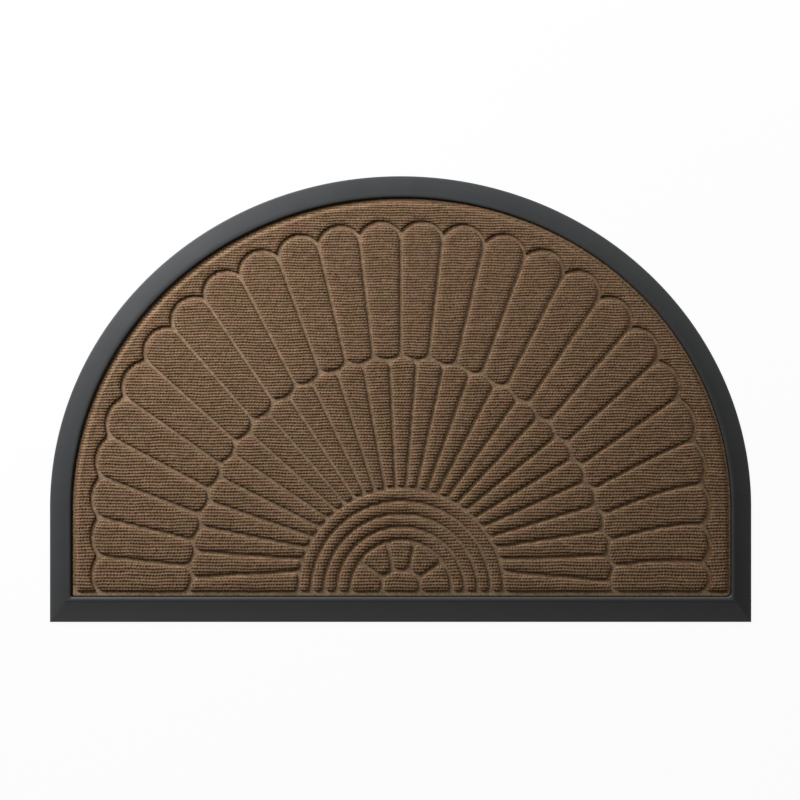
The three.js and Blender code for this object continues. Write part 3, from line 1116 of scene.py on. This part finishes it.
class DOORMAT_OT_tray(bpy.types.Operator):
    """Builds the moulded rubber tray with its sloped border"""

    bl_idname = "doormat.tray"
    bl_label = "Rubber tray"

    def execute(self, context):
        mat = context.scene.doormat_outline
        if mat.width <= 2 * mat.side_border or mat.depth <= mat.side_border + mat.front_border:
            raise RuntimeError("the border leaves no room for the carpet")
        section = [
            (side * mat.side_border, front * mat.front_border, height * mat.crown)
            for side, front, height in BORDER_SECTION
        ]
        rings = ease_section(section, BORDER_EASE)
        loops = []
        for side, front, height in rings:
            share = float(soft_step(side / mat.side_border, *CROWN_RAMP))
            loop = mat_outline(mat, side, front + POCKET_DROP * share, POCKET_CORNER * share)
            loop = loop + POCKET_SHIFT * share
            loops.append((loop, height))
        # The rim, crown and front are painted paler: painted highlights and wear, more at the
        # front.
        shares, highlit_and_worn = zip(*BORDER_HIGHLIGHTS_AND_WEAR)
        highlight_and_wear = np.array([np.interp(side / mat.side_border, shares, highlit_and_worn) for side, *_ in rings])
        highlight_and_wear = np.repeat(highlight_and_wear[:, None], len(loops[0][0]), axis=1)
        highlight_and_wear[:, :FRONT_STEPS + 1] += FRONT_HIGHLIGHT
        finish = shared_finish("moulded_rubber", rubber_finish, context.scene.doormat_finish)
        dress(lofted_piece("moulded_tray", loops, highlight_and_wear), finish, "rubber_tray")
        return {"FINISHED"}


class DOORMAT_OT_pile(bpy.types.Operator):
    """Builds the ribbed pads of the carpet face, group by group"""

    bl_idname = "doormat.pile"
    bl_label = "Ribbed pads"

    def execute(self, context):
        scene = context.scene
        rows, groups = pressed_pile(scene.doormat_outline, scene.doormat_fan, scene.doormat_pile)
        finish = shared_finish("ribbed_pile", pile_finish, scene.doormat_finish)
        for number, group in enumerate(groups):
            dress(pile_piece(group, number, rows), finish, "carpet_face")
        return {"FINISHED"}


class DOORMAT_OT_carpet(bpy.types.Operator):
    """Lays the pressed carpet, with its grooves and margin, in the tray"""

    bl_idname = "doormat.carpet"
    bl_label = "Pressed carpet"

    def execute(self, context):
        pads = [o for o in context.scene.objects if o.name.startswith("pile_")]
        if not pads:
            raise RuntimeError("the ribbed pads come before the pressed carpet")
        mat = context.scene.doormat_outline
        side = mat.side_border + POCKET_CLEARANCE + CARPET_SHIFT
        front = mat.front_border + POCKET_CLEARANCE
        loops = []
        for inset, side_height, front_height in EDGE_ROLL:
            loop = mat_outline(mat, side + inset, front + inset + POCKET_DROP, POCKET_CORNER)
            loop = loop + POCKET_SHIFT + CARPET_SHIFT
            if inset < EDGE_ROLL[-1][0]:
                sag = RIM_HEIGHTS[1][-1] - np.interp(loop.real, *RIM_HEIGHTS)
                side_height = np.maximum(side_height - sag, min(side_height, LOWEST_FOOT))
            away = soft_step(loop.imag - loop.imag.min(), *FRONT_ROLL_END)
            loops.append((loop, front_height + (side_height - front_height) * away))
        carpet = lofted_piece("pressed_carpet", loops)
        finish = shared_finish("pressed_carpet", pressed_finish, context.scene.doormat_finish)
        dress(carpet, finish, "carpet_face")
        return {"FINISHED"}


class DOORMAT_OT_stage(bpy.types.Operator):
    """Sets up the studio: floor, two lamps, sky and the camera above the mat"""

    bl_idname = "doormat.stage"
    bl_label = "Studio"

    def execute(self, context):
        scene = context.scene
        studio = scene.doormat_studio
        add_floor(scene.doormat_finish)
        add_lamp(scene, "left_lamp", studio.lamp, LAMP_PLACE)
        add_lamp(scene, "right_lamp", studio.second_lamp, SECOND_PLACE)
        scene.world = studio_sky(studio)
        add_camera(scene)
        scene.view_settings.view_transform = "Standard"
        return {"FINISHED"}


class DOORMAT_PT_panel(bpy.types.Panel):
    """Lists the doormat's settings and the steps that build it"""

    bl_label = "Half-round doormat"
    bl_idname = "DOORMAT_PT_panel"
    bl_space_type = "VIEW_3D"
    bl_region_type = "UI"
    bl_category = "Doormat"

    def draw(self, context):
        layout = self.layout
        for name, group in SETTINGS.items():
            box = layout.box()
            box.label(text=name.removeprefix("doormat_").capitalize())
            for setting in group.__annotations__:
                box.prop(getattr(context.scene, name), setting)
        for step in STEPS:
            layout.operator(step.bl_idname)


SETTINGS = {
    "doormat_outline": DoormatOutline,
    "doormat_fan": DoormatFan,
    "doormat_pile": DoormatPile,
    "doormat_finish": DoormatFinish,
    "doormat_studio": DoormatStudio,
}
STEPS = (DOORMAT_OT_tray, DOORMAT_OT_pile, DOORMAT_OT_carpet, DOORMAT_OT_stage)


def register():
    """Adds the settings, the steps and the panel."""
    for item in (*SETTINGS.values(), *STEPS, DOORMAT_PT_panel):
        bpy.utils.register_class(item)
    for name, group in SETTINGS.items():
        setattr(bpy.types.Scene, name, PointerProperty(type=group))


def unregister():
    """Takes them away again."""
    for name in SETTINGS:
        delattr(bpy.types.Scene, name)
    for item in reversed((*SETTINGS.values(), *STEPS, DOORMAT_PT_panel)):
        bpy.utils.unregister_class(item)


def main():
    """Builds the doormat step by step."""
    register()
    bpy.ops.doormat.tray()
    bpy.ops.doormat.pile()
    bpy.ops.doormat.carpet()
    bpy.ops.doormat.stage()


if __name__ == "__main__":
    main()
